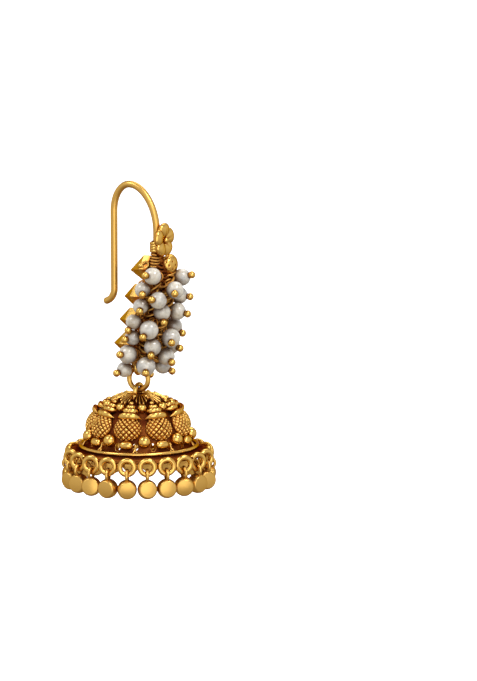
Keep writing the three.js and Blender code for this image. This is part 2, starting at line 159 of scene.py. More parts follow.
def piece(form, name, node, body, material):
    """Makes the form an object that stands for a node, rides on its body and has a material."""
    mesh = bpy.data.meshes.new(name)
    points = np.concatenate(form.points) * MM
    mesh.from_pydata(points.tolist(), [], np.concatenate(form.faces).tolist())
    layer = mesh.attributes.new("recess", "FLOAT", "POINT")
    layer.data.foreach_set("value", np.concatenate(form.recess).astype(np.float32))
    mend(mesh)
    mesh.shade_smooth()
    mesh.materials.append(material)
    made = bpy.data.objects.new(name, mesh)
    bpy.context.scene.collection.objects.link(made)
    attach(made, body)
    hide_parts(node)
    return made


def unit(vector):
    return np.asarray(vector, float) / np.linalg.norm(vector)


def across(axis):
    """Two directions square to an axis and to each other."""
    first = unit(np.cross(axis, Z_AXIS if abs(axis[2]) < 0.9 else X_AXIS))
    return first, np.cross(axis, first)


def around(turn, r, z):
    return np.array([r * math.cos(math.radians(turn)), r * math.sin(math.radians(turn)), z])


def smooth(points, count):
    """A smooth line through a few points, as evenly spaced points."""
    points = np.asarray(points, float)
    padded = np.vstack([2 * points[0] - points[1], points, 2 * points[-1] - points[-2]])
    line = []
    for start in range(len(points) - 1):
        a, b, c, d = padded[start : start + 4]
        for t in np.linspace(0, 1, 24, endpoint=False):
            bend = (2 * a - 5 * b + 4 * c - d) * t * t + (3 * b - a - 3 * c + d) * t**3
            line.append(b + 0.5 * ((c - a) * t + bend))
    line = np.array(line + [points[-1]])
    length = np.concatenate([[0], np.cumsum(np.linalg.norm(np.diff(line, axis=0), axis=1))])
    where = np.linspace(0, length[-1], count)
    return np.stack([np.interp(where, length, column) for column in line.T], axis=1)


def circle(centre, axis, radius, count):
    first, second = across(unit(axis))
    turn = np.linspace(0, 2 * np.pi, count, endpoint=False)[:, None]
    return np.asarray(centre) + radius * (np.cos(turn) * first + np.sin(turn) * second)


def tube(form, path, radius, sides=14, closed=False, recess=0.0, squash=1.0):
    """A wire along a path. An open wire ends in domes, and squash flattens its section."""
    path = np.asarray(path, float)
    radius = np.broadcast_to(np.asarray(radius, float), len(path))
    if not closed:
        dome = np.radians([0, 25, 50, 72])
        head, tail = unit(path[1] - path[0]), unit(path[-1] - path[-2])
        start = path[0] - np.outer(np.cos(dome) * radius[0], head)
        end = path[-1] + np.outer(np.cos(dome[::-1]) * radius[-1], tail)
        path = np.vstack([start, path, end])
        radius = np.concatenate([np.sin(dome) * radius[0], radius, np.sin(dome[::-1]) * radius[-1]])
        ahead = np.gradient(path, axis=0)
    else:
        ahead = np.roll(path, -1, axis=0) - np.roll(path, 1, axis=0)
    ahead /= np.linalg.norm(ahead, axis=1, keepdims=True)
    side = across(ahead[0])[0]
    carried = []
    for way in ahead:
        side = unit(side - way * side.dot(way))
        carried.append(side)
    first = np.array(carried)[:, None, :]
    second = squash * np.cross(ahead, np.array(carried))[:, None, :]
    turn = np.linspace(0, 2 * np.pi, sides, endpoint=False)[None, :, None]
    points = path[:, None, :] + radius[:, None, None] * (np.cos(turn) * first + np.sin(turn) * second)
    form.grid(points, recess, along=closed)


def turned(form, profile, centre, axis, sides=32, recess=0.0, closed=False):
    """A profile of radius and height, turned about an axis through a centre."""
    profile = np.asarray(profile, float)
    axis = unit(axis)
    first, second = across(axis)
    turn = np.linspace(0, 2 * np.pi, sides, endpoint=False)[None, :, None]
    out = profile[:, 0][:, None, None] * (np.cos(turn) * first + np.sin(turn) * second)
    points = np.asarray(centre) + out + profile[:, 1][:, None, None] * axis
    depth = np.asarray(recess, float)
    form.grid(points, depth[:, None] if depth.ndim else depth, along=closed)


def ball(form, centre, radius, axis=Z_AXIS, stretch=1.0, sides=28, recess=0.0):
    turn = np.linspace(0, np.pi, sides // 2 + 1)
    profile = np.stack([radius * np.sin(turn), -stretch * radius * np.cos(turn)], axis=1)
    turned(form, profile, centre, axis, sides, recess)


def node_tree(name):
    material = bpy.data.materials.new(name)
    material.use_nodes = True
    return material, material.node_tree, material.node_tree.nodes["Principled BSDF"]


def add(tree, kind, inputs, **settings):
    """A shader node with its settings, and its inputs as values or as links from other sockets."""
    made = tree.nodes.new(kind)
    for key, value in settings.items():
        setattr(made, key, value)
    for key, value in inputs.items():
        if isinstance(value, bpy.types.NodeSocket):
            tree.links.new(value, made.inputs[key])
        else:
            made.inputs[key].default_value = value
    return made


def ramp(tree, fac, stops):
    made = add(tree, "ShaderNodeValToRGB", {"Fac": fac})
    line = made.color_ramp
    while len(line.elements) < len(stops):
        line.elements.new(0.5)
    for element, (place, colour) in zip(line.elements, stops):
        element.position = place
        element.color = (*colour, 1.0)
    return made.outputs["Color"]


def mixed(tree, fac, colour, other):
    """A colour that turns to another one where fac is 1."""
    sockets = {0: fac, 6: colour, 7: (*other, 1.0)}
    made = add(tree, "ShaderNodeMix", sockets, data_type="RGBA", clamp_factor=True)
    return made.outputs[2]


def cloud(tree, place, scale, detail=3.0):
    made = add(tree, "ShaderNodeTexNoise", {"Vector": place, "Scale": scale, "Detail": detail})
    return made.outputs["Fac"]


def maths(tree, operation, *values, clamp=False):
    made = add(tree, "ShaderNodeMath", dict(enumerate(values)), operation=operation, use_clamp=clamp)
    return made.outputs[0]


def openness(tree, reach):
    """How open to the air the surface is, within a reach in millimetres."""
    return add(tree, "ShaderNodeAmbientOcclusion", {"Distance": reach * MM}, samples=8).outputs["AO"]


def gold(name, light, shade, dark, rough, grain, hold=0.9, wear=0.34):
    """Gold that is bright where it is rubbed and dark in its recesses and crevices, with old patina and
    with painted shade.
    """
    material, tree, shader = node_tree(name)
    place = add(tree, "ShaderNodeTexCoord", {}).outputs["Object"]
    recess = add(tree, "ShaderNodeAttribute", {}, attribute_name="recess").outputs["Fac"]
    patches = cloud(tree, place, 620.0)
    speckle = cloud(tree, place, 3400.0, 2.0)
    open_air = openness(tree, CREVICE)
    # Neighbours within the reach darken the gold through ambient occlusion: painted shade, mixed with
    # patina.
    crevice = add(
        tree,
        "ShaderNodeMapRange",
        {"Value": open_air, "From Min": 0.72, "From Max": 0.2, "To Max": hold},
    ).outputs[0]
    worn = maths(tree, "MULTIPLY_ADD", patches, wear, -wear / 2)
    low = maths(tree, "MAXIMUM", recess, crevice)
    depth = maths(tree, "ADD", low, worn, clamp=True)
    colour = ramp(tree, depth, [(0.0, light), (0.22, light), (0.55, shade), (0.9, dark), (1.0, DEEP_SHADE_BROWN)])
    tree.links.new(colour, shader.inputs["Base Color"])
    shader.inputs["Metallic"].default_value = 1.0
    shader.inputs["Specular Tint"].default_value = (*EDGE_TINT, 1.0)
    dull = maths(tree, "MULTIPLY_ADD", depth, 0.3, rough)
    sheen = maths(tree, "MULTIPLY_ADD", speckle, 0.1, dull)
    tree.links.new(sheen, shader.inputs["Roughness"])
    height = maths(tree, "ADD", speckle, patches)
    bump = add(tree, "ShaderNodeBump", {"Height": height, "Strength": grain, "Distance": 0.00004})
    tree.links.new(bump.outputs["Normal"], shader.inputs["Normal"])
    return material


def pearl_lustre():
    """Off-white nacre with cool and warm patches, faint rings and a brown edge at the drilled hole."""
    material, tree, shader = node_tree("pearl")
    place = add(tree, "ShaderNodeTexCoord", {}).outputs["Object"]
    recess = add(tree, "ShaderNodeAttribute", {}, attribute_name="recess").outputs["Fac"]
    patches = cloud(tree, place, 420.0, 4.0)
    fine = cloud(tree, place, 2300.0, 3.0)
    body = ramp(tree, patches, NACRE)
    # Ambient occlusion turns the nacre warm brown where pearls and wires crowd it: painted contact
    # shade.
    contact_shade_mask = add(
        tree,
        "ShaderNodeMapRange",
        {"Value": openness(tree, SHELTER), "From Min": 0.94, "From Max": 0.42, "To Max": 0.92},
    ).outputs[0]
    grain = add(
        tree,
        "ShaderNodeMapRange",
        {"Value": fine, "From Min": 0.48, "From Max": 0.66, "To Max": 0.3},
    ).outputs[0]
    mottled = mixed(tree, grain, body, MOTTLE)
    warm = mixed(tree, contact_shade_mask, mottled, CONTACT_SHADE_BROWN)
    tree.links.new(mixed(tree, recess, warm, BORE), shader.inputs["Base Color"])
    sheen = add(tree, "ShaderNodeMapRange", {"Value": fine, "To Min": 0.14, "To Max": 0.3})
    tree.links.new(sheen.outputs[0], shader.inputs["Roughness"])
    bump = add(tree, "ShaderNodeBump", {"Height": fine, "Strength": 0.12, "Distance": 0.00003})
    tree.links.new(bump.outputs["Normal"], shader.inputs["Normal"])
    shader.inputs["Subsurface Weight"].default_value = 0.12
    shader.inputs["Subsurface Radius"].default_value = (0.0005, 0.0004, 0.0003)
    shader.inputs["Specular IOR Level"].default_value = 0.75
    shader.inputs["Coat Weight"].default_value = 0.8
    shader.inputs["Coat Roughness"].default_value = 0.07
    return material


# Reaches, in millimetres, over which neighbours darken the gold with patina and painted shade and lay a
# painted warm shade on the pearls.
CREVICE = 0.8
SHELTER = 2.0
NACRE = [
    (0.3, (0.42, 0.41, 0.39)),
    (0.46, (0.59, 0.56, 0.5)),
    (0.58, (0.72, 0.67, 0.57)),
    (0.72, (0.43, 0.36, 0.27)),
]
# Warm brown of the painted shade where pearls touch their neighbours.
CONTACT_SHADE_BROWN = (0.13, 0.065, 0.03)
BORE = (0.07, 0.035, 0.02)
MOTTLE = (0.24, 0.21, 0.17)
EDGE_TINT = (0.42, 0.22, 0.1)
LIGHT_GOLD = (0.8, 0.48, 0.12)
YELLOW_GOLD = (0.73, 0.435, 0.11)
SHADE_GOLD = (0.5, 0.17, 0.028)
PATINA = (0.1, 0.019, 0.005)
# The darkest stop of the gold: painted deep shade, under the skirt's rim wire and inside the bunch.
DEEP_SHADE_BROWN = (0.045, 0.011, 0.004)
polished = gold("polished_gold", LIGHT_GOLD, SHADE_GOLD, PATINA, 0.13, 0.06, 0.6, 0.1)
cast = gold("cast_gold", LIGHT_GOLD, SHADE_GOLD, PATINA, 0.2, 0.25)
satin = gold("satin_gold", YELLOW_GOLD, SHADE_GOLD, PATINA, 0.3, 0.05, 0.5)
wire_gold = gold("wire_gold", YELLOW_GOLD, SHADE_GOLD, PATINA, 0.3, 0.08)
nacre = pearl_lustre()


def quarter(start, corner, end, fullness=0.5523, count=24):
    """A quarter of an ellipse about a square corner."""
    start, corner, end = (np.array([x, 0.0, z]) for x, z in (start, corner, end))
    first, second = start + (corner - start) * fullness, end + (corner - end) * fullness
    t = np.linspace(0, 1, count, endpoint=False)[:, None]
    u = 1 - t
    return u**3 * start + 3 * u * u * t * first + 3 * u * t * t * second + t**3 * end


def straight(start, end, count):
    return np.linspace(np.asarray(start, float), np.asarray(end, float), count, endpoint=False)


def ear_hook():
    form = Form()
    top = HOOK["wire"]
    tail = (HOOK["tail_x"], HOOK["tail_z"])
    low, high = (HOOK["leg_x"], HOOK["leg_bottom"]), (HOOK["leg_x"], HOOK["leg_top"])
    crown = (HOOK["crown_x"], top)
    stem = (HOOK["stem_x"], HOOK["stem_top"])
    foot = (HOOK["stem_x"], 0, HOOK["stem_bottom"] + top)
    path = np.vstack(
        [
            quarter(tail, (low[0], tail[1]), low),
            straight((low[0], 0, low[1]), (high[0], 0, high[1]), 16),
            quarter(high, (high[0], top), crown),
            quarter(crown, (stem[0], top), stem, 0.52),
            straight((stem[0], 0, stem[1]), foot, 6),
            [foot],
        ]
    )
    cut = max(1, int(top / np.linalg.norm(path[1] - path[0])))
    tube(form, path[cut:], HOOK["wire"], 28)
    piece(form, "ear_hook_wire", "ear_hook", "hanger", wire_gold)


def spine_at(z):
    return np.array([SPINE["x"] + SPINE["lean"] * (z - SPINE["z"]), 0.0, z])


def helix(base, top, radius, turns, per_turn=22):
    """A wire wound about the line from one point to another."""
    axis = unit(top - base)
    first, second = across(axis)
    turn = np.linspace(0, 2 * np.pi * turns, int(turns * per_turn))[:, None]
    rise = np.linspace(0, 1, len(turn))[:, None] * (top - base)
    return base + rise + radius * (np.cos(turn) * first + np.sin(turn) * second)


def collar():
    form = Form()
    low = np.array([HOOK["stem_x"], 0, COLLAR["bottom"]])
    high = np.array([HOOK["stem_x"], 0, COLLAR["top"]])
    inset = np.array([0, 0, COLLAR["wrap"]])
    wound = COLLAR["core"] + 0.1
    wire = helix(low + inset, high - inset, wound, COLLAR["turns"], 30)
    tube(form, wire, COLLAR["wrap"], 14, recess=0.2)
    core = [(0, 0), (wound, 0), (wound, high[2] - low[2]), (HOOK["wire"] + 0.03, high[2] - low[2])]
    core += [(HOOK["wire"] + 0.03, 0.6), (0, 0.6)]
    turned(form, core, low, Z_AXIS, 32, 0.85)
    piece(form, "collar_wraps", "hanger_frame", "hanger", polished)


def flower():
    """Five broad petals with a soft crease, a round middle and the post behind."""
    form = Form()
    middle = np.array([FLOWER["x"], 0, FLOWER["z"]])
    polar = np.linspace(0, np.pi, 25)[:, None]
    around_it = np.linspace(0, 2 * np.pi, 40, endpoint=False)[None, :]
    out = np.cos(polar) * np.ones_like(around_it)
    wide = np.sin(polar) * np.cos(around_it)
    thick = np.sin(polar) * np.sin(around_it)
    crease = np.exp(-((wide / 0.12) ** 2)) * np.clip(thick, 0, 1) * np.clip(0.5 - out, 0, 1)
    cup = 0.16 * out
    swell = 1.0 + 0.22 * out
    lift = FLOWER["thick"] * (thick - 0.18 * crease + cup)
    for petal in range(FLOWER["petals"]):
        turn = math.radians(90 + 360 / FLOWER["petals"] * petal)
        way = np.array([0, math.cos(turn), math.sin(turn)])
        side = np.cross(X_AXIS, way)
        points = middle + FLOWER["reach"] * way + FLOWER["long"] * out[..., None] * way
        points = points + FLOWER["wide"] * (wide * swell)[..., None] * side + lift[..., None] * X_AXIS
        # The petals' rims, creases and inner ends by the middle are darkened: painted shade at their
        # edges and between them.
        edge_shade = 0.55 * np.exp(-((thick / 0.2) ** 2))
        form.grid(points, np.clip(edge_shade + 0.6 * crease + 1.2 * np.clip(-out - 0.45, 0, 1), 0, 1))
    ball(form, middle + 0.42 * X_AXIS, FLOWER["middle"], X_AXIS, 0.95)
    foot = np.array([HOOK["stem_x"] + 0.7, 0, COLLAR["top"] - 0.4])
    tube(form, [foot, (foot + middle) / 2, middle], 0.42, 14, recess=0.6)
    piece(form, "flower", "hanger_frame", "hanger", polished)


def spine():
    """The bar behind the pearls, wound with wire from end to end, and its eyelet."""
    form = Form()
    high, low = spine_at(SPINE["z"] - 0.2), spine_at(SPINE["bottom"] + 0.2)
    # The bar is set fully dark: painted shade deep inside the bunch.
    tube(form, straight(high, low, 30), SPINE["core"], 16, recess=1.0)
    turns = np.linalg.norm(high - low) / SPINE["pitch"]
    tube(form, helix(low, high, SPINE["core"] + 0.08, turns, 18), SPINE["wrap"], 8, recess=0.4)
    piece(form, "spine_wound", "hanger_frame", "hanger", wire_gold)
    form = Form()
    centre = (EYELET["x"], 0, EYELET["z"])
    tube(form, circle(centre, X_AXIS, EYELET["radius"], 48), EYELET["wire"], 16, closed=True)
    piece(form, "spine_eyelet", "hanger_frame", "hanger", polished)


def settings():
    """The box settings: diamond blocks whose backs rise to a point, with softened edges."""
    mesh = bpy.data.meshes.new("box_settings")
    work = bmesh.new()
    for row in SETTINGS:
        middle = spine_at(row["z"])
        shoulder = (row["up"] - row["down"]) / 2
        half = SETTING["half"]
        rim = [(0, row["up"]), (half, shoulder), (0, -row["down"]), (-half, shoulder)]
        rings = []
        for x in (row["deep"] - row["back"], SETTING["root"]):
            rings.append([work.verts.new((middle + (x, y, z)) * MM) for y, z in rim])
        point = work.verts.new((middle - (row["back"], 0, 0)) * MM)
        outer, inner = rings
        work.faces.new(inner)
        for side in range(4):
            after = (side + 1) % 4
            work.faces.new((outer[side], outer[after], point))
            work.faces.new((outer[side], inner[side], inner[after], outer[after]))
    bmesh.ops.recalc_face_normals(work, faces=work.faces)
    width = SETTING["bevel"] * MM
    corners = list(work.verts) + list(work.edges)
    bmesh.ops.bevel(work, geom=corners, offset=width, segments=3, profile=0.6, affect="EDGES")
    work.normal_update()
    recess = work.verts.layers.float.new("recess")
    for face in work.faces:
        # Facets that face down are darkened: painted shade on their undersides.
        under = SETTING["under"] if face.normal.z < -0.3 else 0.0
        for spot in face.verts:
            inward = spot.co.x / MM - spine_at(spot.co.z / MM)[0] + 1.5
            spot[recess] = max(spot[recess], under, 0.75 * min(1.0, max(0.0, inward / 0.9)))
    work.to_mesh(mesh)
    work.free()
    mesh.shade_smooth()
    mesh.materials.append(polished)
    made = bpy.data.objects.new("box_settings", mesh)
    bpy.context.scene.collection.objects.link(made)
    weighted = made.modifiers.new("flat faces", "WEIGHTED_NORMAL")
    weighted.weight = 100
    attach(made, "hanger")
    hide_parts("hanger_frame")


def stud():
    """The engraved stud at the front of the bunch, its stalk, and the granules beside it."""
    form = Form()
    centre = spine_at(STUD["z"]) + around(STUD["side"], STUD["reach"], 0)
    polar = np.linspace(0, np.pi, 49)[:, None]
    turn = np.linspace(0, 2 * np.pi, 96, endpoint=False)[None, :]
    ways = [np.sin(polar) * np.cos(turn), np.sin(polar) * np.sin(turn), np.cos(polar) + 0 * turn]
    shape = np.stack(ways, axis=-1)
    spots = 0.5 + 0.5 * np.cos(7 * turn) * np.cos(8 * polar)
    cut = np.clip((spots - 0.72) / 0.2, 0, 1) * np.sin(polar)
    size = np.array([STUD["thick"], STUD["wide"], STUD["tall"]])
    form.grid(centre + shape * size * (1 - 0.07 * cut)[..., None], 0.7 * cut)
    root = spine_at(STUD["z"] + 1)
    tube(form, [root, (root + centre) / 2, centre], STUD["stalk"], 14, recess=0.7)
    granule = spine_at(GRANULE["z"]) + np.array([-1.7, -1.25, 0.1])
    ball(form, granule, GRANULE["radius"], sides=20)
    loop = circle(granule + (0.75, 0.1, 0.2), (0.3, -1, 0.3), GRANULE["loop"], 32)
    tube(form, loop, GRANULE["wire"], 10, closed=True)
    stalk = [granule, granule + (0.8, 0.6, 0), granule + (1.5, 1.2, 0)]
    tube(form, stalk, GRANULE["stalk"], 10, recess=0.6)
    piece(form, "front_stud", "hanger_frame", "hanger", cast)


def node_points(name):
    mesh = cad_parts[name].data
    points = np.empty(3 * len(mesh.vertices))
    mesh.vertices.foreach_get("co", points)
    return points.reshape(-1, 3) / MM


def pearl_seat(name):
    """A pearl's middle, its radius and the way its headpin points, read from its solid."""
    points = node_points(name)
    centre = np.mean(np.unique(np.round(points, 4), axis=0), axis=0)
    spread, ways = np.linalg.eigh(np.cov((points - centre).T))
    odd = 0 if spread[1] - spread[0] > spread[2] - spread[1] else 2
    aim = ways[:, odd]
    radius = np.linalg.norm(points - centre, axis=1).max()
    outward = aim.dot(centre - spine_at(centre[2])) > 0
    return centre, radius, aim if outward else -aim


def drilled_pearl(name, centre, radius, aim):
    form = Form()
    bore = PIN["wire"] + 0.12
    edge = math.asin(bore / radius)
    turn = np.linspace(edge, np.pi - edge, 27)
    lip = 0.09
    profile = [(radius * math.sin(t), -0.985 * radius * math.cos(t)) for t in turn]
    deep = [math.exp(-((radius * math.sin(t) - bore) / lip) ** 2) for t in turn]
    first, second = across(aim)
    angle = np.linspace(0, 2 * np.pi, 40, endpoint=False)
    rows = []
    for r, h in profile:
        rows.append([r * (math.cos(a) * first + math.sin(a) * second) + h * aim for a in angle])
    points = np.array(rows)
    for row in points:
        for spot in row:
            lump = noise.noise(Vector((centre + spot * 0.9)) * 0.55)
            spot *= 1 + 0.022 * lump
    form.grid(centre + points, np.array(deep)[:, None], along=True)
    piece(form, name + "_nacre", name, "hanger", nacre)


def pearls():
    """The drilled pearls on their headpins, and the pins with their ball ends and twisted feet."""
    pins = Form()
    wires = Form()
    for name in sorted(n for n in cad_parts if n.startswith("pearl_")):
        centre, radius, aim = pearl_seat(name)
        drilled_pearl(name, centre, radius, aim)
        inner = centre - aim * (radius + PIN["before"])
        outer = centre + aim * (radius + PIN["past"])
        root = spine_at(max(inner[2], SPINE["bottom"] + PIN["before"]))
        bent = smooth([root, (root + inner) / 2, inner - aim * 0.05, centre, outer], 40)
        tube(wires, bent, PIN["wire"], 10, recess=0.3)
        ball(pins, outer, PIN["ball"], aim, 0.94, 24)
        tube(pins, circle(outer - aim * 0.36, aim, 0.36, 24), 0.13, 8, closed=True, recess=0.75)
        reach = inner - root
        for share in NEST["wraps"]:
            start = root + share * reach
            wrap = helix(start, start + 0.2 * reach, NEST["radius"], 2.6, 18)
            tube(wires, wrap, NEST["wire"], 8, recess=0.2)
        for number, share in enumerate(NEST["rings"]):
            lean = unit(reach + np.cross(reach, Z_AXIS) * math.sin(2.4 * number + 3.1 * centre[2]))
            ring = circle(root + share * reach, lean, NEST["ring"], 28)
            tube(wires, ring, NEST["wire"], 8, closed=True, recess=0.45)
    for row in TANGLE:
        low, high = (spine_at(z) + around(row["side"], row["out"], 0) for z in (row["low"], row["high"]))
        turns, per_turn = (high[2] - low[2]) / row["pitch"], 20
        coil = helix(low, high, row["radius"], turns, per_turn)
        middle = helix(low, high, 0.0, turns, per_turn)
        step = np.arange(len(coil))[:, None]
        tilt = 0.55 * np.sin(step * 2 * np.pi / per_turn + 0.23 * step / per_turn) * Z_AXIS
        loose = middle + (coil - middle) * (1 + 0.2 * np.sin(0.37 * step)) + tilt
        tube(wires, loose, row["wire"], 8, recess=row["recess"])
    piece(pins, "headpin_balls", "hanger_frame", "hanger", polished)
    piece(wires, "headpin_wires", "hanger_frame", "hanger", wire_gold)


def link_ring():
    form = Form()
    path = circle((RING["x"], 0, RING["z"]), Y_AXIS, RING["radius"], 64)
    tube(form, path, RING["wire"], 20, closed=True)
    piece(form, "link_ring_wire", "link_ring", "link", wire_gold)


# The outside of the bell as a line from its top to its rim, with the length along it.
DOME_LINE = smooth(DOME, 400)
DOME_LENGTH = np.concatenate([[0], np.cumsum(np.linalg.norm(np.diff(DOME_LINE, axis=0), axis=1))])
DOME_WAY = np.gradient(DOME_LINE, DOME_LENGTH, axis=0)


def down_to(z):
    """How far down along the dome's outside a height lies."""
    return np.interp(-z, -DOME_LINE[:, 1], DOME_LENGTH)


def on_dome(turn, length, stand):
    """Points that stand off the dome at turns in degrees and lengths down its outside."""
    r, z = (np.interp(length, DOME_LENGTH, DOME_LINE[:, k]) for k in (0, 1))
    way_r, way_z = (np.interp(length, DOME_LENGTH, DOME_WAY[:, k]) for k in (0, 1))
    r = r - way_z * stand
    z = z + way_r * stand
    angle = np.radians(turn)
    return np.stack([BELL["x"] + r * np.cos(angle), r * np.sin(angle), z + 0 * angle], axis=-1)


def dome_radius(length):
    return np.interp(length, DOME_LENGTH, DOME_LINE[:, 0])


def unit_turn(number, shift=0.0):
    return VIEW + BELL["first"] + UNIT * (number + shift)


def at_bell(turn, r, z):
    return around(turn, r, z) + BELL["x"] * X_AXIS


def bell_shell():
    """The thin wall of the bell with its pierced gaps, from the top down to the skirt's edge."""
    form = Form()
    columns = BELL["units"] * 48
    outer = smooth(DOME, 70)
    inner = smooth(HOLLOW, 44)[::-1]
    profile = np.vstack([outer[:-1], SKIRT[::-1][:-1], inner])
    # The outer wall is set dark: patina, and painted shade under the relief that stands on it.
    deep = np.concatenate([np.full(69, 0.88), SKIRT_SHADE, np.full(44, 0.5)])
    turns = np.linspace(0, 360, columns, endpoint=False) + unit_turn(0)
    points = np.array([[at_bell(turn, r, z) for turn in turns] for r, z in profile])
    form.grid(points, deep[:, None], across=True)
    made = piece(form, "bell_shell", "bell", "bell", cast)
    cutter = Form()
    for number in range(BELL["units"]):
        for side in (-1, 1):
            turn = unit_turn(number, 0.5) + side * GAP["beside"]
            way = around(turn, 1, 0)
            wide = GAP["r"] * math.radians(GAP["half_turn"])
            ring = [
                wide * math.cos(a) * np.cross(Z_AXIS, way) + GAP["half_tall"] * math.sin(a) * Z_AXIS
                for a in np.linspace(0, 2 * np.pi, 20, endpoint=False)
            ]
            inside, outside = (at_bell(turn, GAP[end], GAP["z"]) for end in ("inside", "outside"))
            ring = np.array(ring)
            cutter.grid(np.array([inside + 0 * ring, inside + ring, outside + ring, outside + 0 * ring]))
    tool = bpy.data.meshes.new("gap_cutter")
    corners = np.concatenate(cutter.points) * MM
    tool.from_pydata(corners.tolist(), [], np.concatenate(cutter.faces).tolist())
    mend(tool)
    knife = bpy.data.objects.new("gap_cutter", tool)
    bpy.context.scene.collection.objects.link(knife)
    cut = made.modifiers.new("gaps", "BOOLEAN")
    cut.object = knife
    cut.operation = "DIFFERENCE"
    cut.solver = "EXACT"
    bpy.context.view_layer.update()
    cut_mesh = bpy.data.meshes.new_from_object(made.evaluated_get(bpy.context.evaluated_depsgraph_get()))
    made.modifiers.remove(cut)
    made.data = cut_mesh
    bpy.data.objects.remove(knife)


def pineapples():
    """The fruit on the bell: crowned ovals cut all over with crossing grooves."""
    form = Form()
    polar = np.radians(np.linspace(0, 112, 46))[:, None]
    turn = np.linspace(0, 2 * np.pi, 168, endpoint=False)[None, :]
    a = PINEAPPLE["wide"] * np.sin(polar) * np.cos(turn)
    b = PINEAPPLE["tall"] * np.sin(polar) * np.sin(turn)
    wrap = 1 + 0.22 * (a / PINEAPPLE["wide"]) ** 2
    lines = []
    for sign in (1, -1):
        phase = (a * wrap * PINEAPPLE["slope"] + sign * b) / PINEAPPLE["pitch"]
        off = np.abs(phase - np.round(phase))
        lines.append(np.exp(-((off / 0.17) ** 2)))
    groove = np.maximum(*lines)
    edge = np.clip((np.degrees(polar) - 66) / 30, 0, 1) * np.ones_like(turn)
    stand = PINEAPPLE["raise_"] * np.cos(polar) - PINEAPPLE["groove"] * groove * (1 - edge) + 0.05
    length = down_to(PINEAPPLE["z"]) + b
    for number in range(BELL["units"]):
        side = np.degrees(a / dome_radius(down_to(PINEAPPLE["z"])))
        points = on_dome(unit_turn(number) + side, length, stand)
        form.grid(points, np.clip(0.95 * groove ** 1.4 * (1 - edge) + 0.85 * edge, 0, 1))
    piece(form, "bell_pineapples", "bell", "bell", cast)


def blades():
    """The crown of leaves over each pineapple: pairs of blades that spread to both sides, and a bud."""
    form = Form()
    t = np.linspace(0, 1, 20)
    base = down_to(PINEAPPLE["z"]) - PINEAPPLE["tall"]
    thick = BLADE["thick"] * np.clip(1.0 - t**2, 0.06, 1) * (0.85 + 1.2 * t * (1 - t))
    sides = 18
    # Darker at the two ends of each blade's deep section: painted shade in the gaps between the tiers.
    edge_shade = 0.9 * np.abs(np.sin(np.linspace(0, 2 * np.pi, sides, endpoint=False))) ** 5
    for number in range(BELL["units"]):
        for row in BLADES:
            length = base - row["up"] - row["rise"] * t**1.8
            stand = row["stand"] - BLADE["droop"] * t * t
            reach = np.degrees(row["reach"] * t / (dome_radius(length) + row["stand"]))
            for side in (-1, 1):
                path = on_dome(unit_turn(number) + side * reach, length, stand)
                tube(form, path, thick, sides, recess=edge_shade, squash=BLADE["deep"])
        top = np.array(base - BLADE["bud_up"])
        ball(form, on_dome(np.array(unit_turn(number)), top, np.array(0.6)), BLADE["bud"], sides=22)
    piece(form, "bell_leaves", "bell", "bell", polished)


def cap():
    """The lotus over the top of the bell: fluted petals with scalloped ends."""
    form = Form()
    columns, rows = BELL["units"] * 60, 40
    turn = np.linspace(0, 360, columns, endpoint=False)[None, :]
    part = turn / UNIT - np.round(turn / UNIT)
    edge = CAP["edge"] - CAP["notch"] * (2 * np.abs(np.abs(part) - 0.5)) ** 1.6
    t = np.linspace(0, 1, rows)[:, None]
    length = CAP["inner"] + (edge - CAP["inner"]) * t
    flute = np.abs(np.cos(np.pi * CAP["flutes"] * part)) ** 4
    valley = np.clip(1.2 - 1.6 * flute, 0, 1)
    fall = np.clip((1 - t) / 0.06, 0, 1) ** 0.5
    stand = (CAP["raise_"] * (0.45 + 0.55 * flute) + CAP["lip"] * t**4) * fall * (0.6 + 0.4 * t)
    stand = 0.03 + stand * np.clip((length - CAP["clear"]) / 0.9, 0, 1)
    stand = np.where(t >= 1, -0.1, stand)
    points = on_dome(unit_turn(0) + turn + 0 * t, length, stand)
    form.grid(points, np.clip(valley + 0.5 * (1 - fall), 0, 1))
    for number in range(BELL["units"]):
        spot = on_dome(np.array(unit_turn(number)), np.array(BEAD["down"]), np.array(BEAD["stand"]))
        ball(form, spot, BEAD["radius"], sides=18)
    piece(form, "bell_cap", "bell", "bell", cast)


def bell_balls():
    """The balls between the pineapples, large below and small above, and the barrels under them."""
    form = Form()
    profile = []
    for t in np.linspace(0, 1, 25):
        h = (2 * t - 1) * BARREL["half"]
        bulge = math.sqrt(max(0.0, 1 - abs(2 * t - 1) ** 3.2))
        profile.append((BARREL["radius"] * bulge, h))
    for number in range(BELL["units"]):
        between = unit_turn(number, 0.5)
        ball(form, at_bell(between, BALL["r"], BALL["z"]), BALL["radius"], sides=32)
        ball(form, at_bell(between, UPPER_BALL["r"], UPPER_BALL["z"]), UPPER_BALL["radius"], sides=26)
        under = unit_turn(number)
        turned(form, profile, at_bell(under, BARREL["r"], BARREL["z"]), around(under + 90, 1, 0), 28)
    piece(form, "bell_balls", "bell", "bell", polished)


